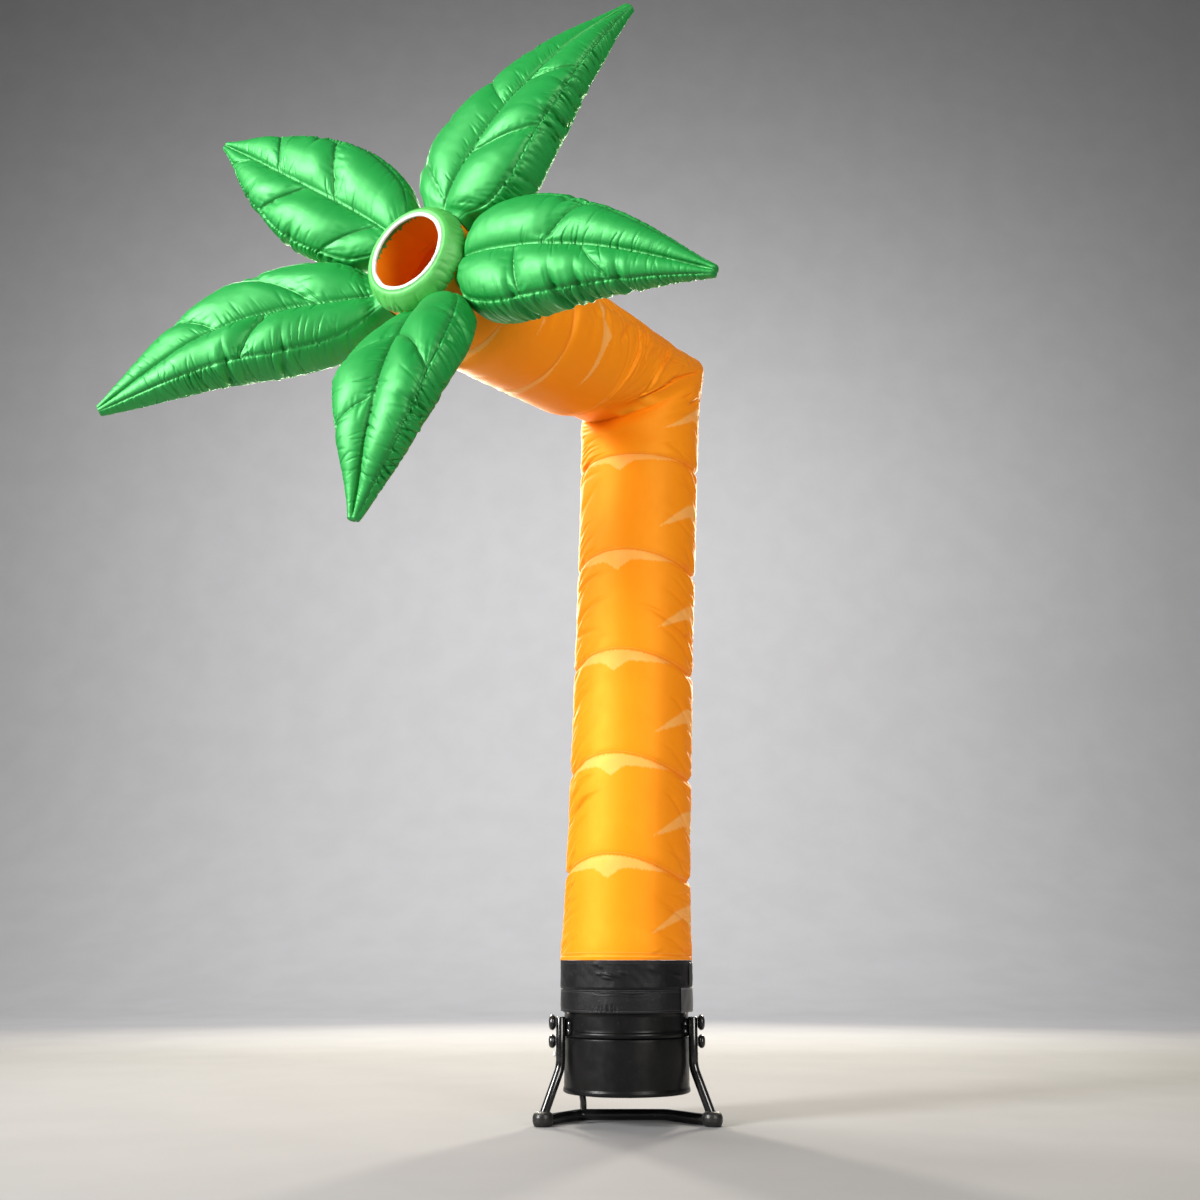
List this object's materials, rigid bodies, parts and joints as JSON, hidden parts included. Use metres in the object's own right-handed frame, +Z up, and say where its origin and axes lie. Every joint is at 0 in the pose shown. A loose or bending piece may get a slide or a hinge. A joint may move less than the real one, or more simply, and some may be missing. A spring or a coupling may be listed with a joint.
{
  "type": "inflatable air dancer on a blower stand",
  "caption": "Inflated fabric tube folded over at the top like a palm tree, with a crown of swollen leaves round an open vent, standing on a black drum blower with a tubular stand.",
  "frame": {"origin": "middle of the outline on the floor, which is to the left and to the front of the blower's axis", "axes": "+Z up; -Y towards the front, the side of the stand's splayed feet; +X to the right as seen from the front, away from which the arm leans"},
  "size_m": [1.3494, 1.2973, 2.306],
  "materials": {
    "tube_cloth": "satin",
    "leaf_cloth": "satin",
    "collar_cloth": "satin",
    "white_tape": "matte",
    "black_cloth": "matte",
    "webbing": "matte",
    "grey_tab": "matte",
    "black_paint": "satin",
    "tube_paint": "gloss",
    "knob_plastic": "gloss",
    "steel": "satin",
    "foot_rubber": "matte"
  },
  "bodies": {
    "root": {"base_sleeve": "black_cloth", "blower_drum": "black_paint", "clamp_knob_left_lower": "knob_plastic", "clamp_knob_left_upper": "knob_plastic", "clamp_knob_right_lower": "knob_plastic", "clamp_knob_right_upper": "knob_plastic", "crown_collar": "collar_cloth", "dancer_tube": "tube_cloth", "drum_strut": "tube_paint", "floor_rail": "tube_paint", "foot_left": "foot_rubber", "foot_right": "foot_rubber", "leaf_bottom": "leaf_cloth", "leaf_lower_left": "leaf_cloth", "leaf_right": "leaf_cloth", "leaf_top": "leaf_cloth", "leaf_upper_left": "leaf_cloth", "outlet_ring": "black_paint", "plate_bolt_left_lower": "steel", "plate_bolt_left_upper": "steel", "plate_bolt_right_lower": "steel", "plate_bolt_right_upper": "steel", "post_screw": "steel", "side_plate_left": "black_paint", "side_plate_right": "black_paint", "sleeve_strap": "webbing", "stand_leg_left": "tube_paint", "stand_leg_right": "tube_paint", "strap_tab": "grey_tab", "vent_binding": "white_tape"}
  },
  "joints": []
}
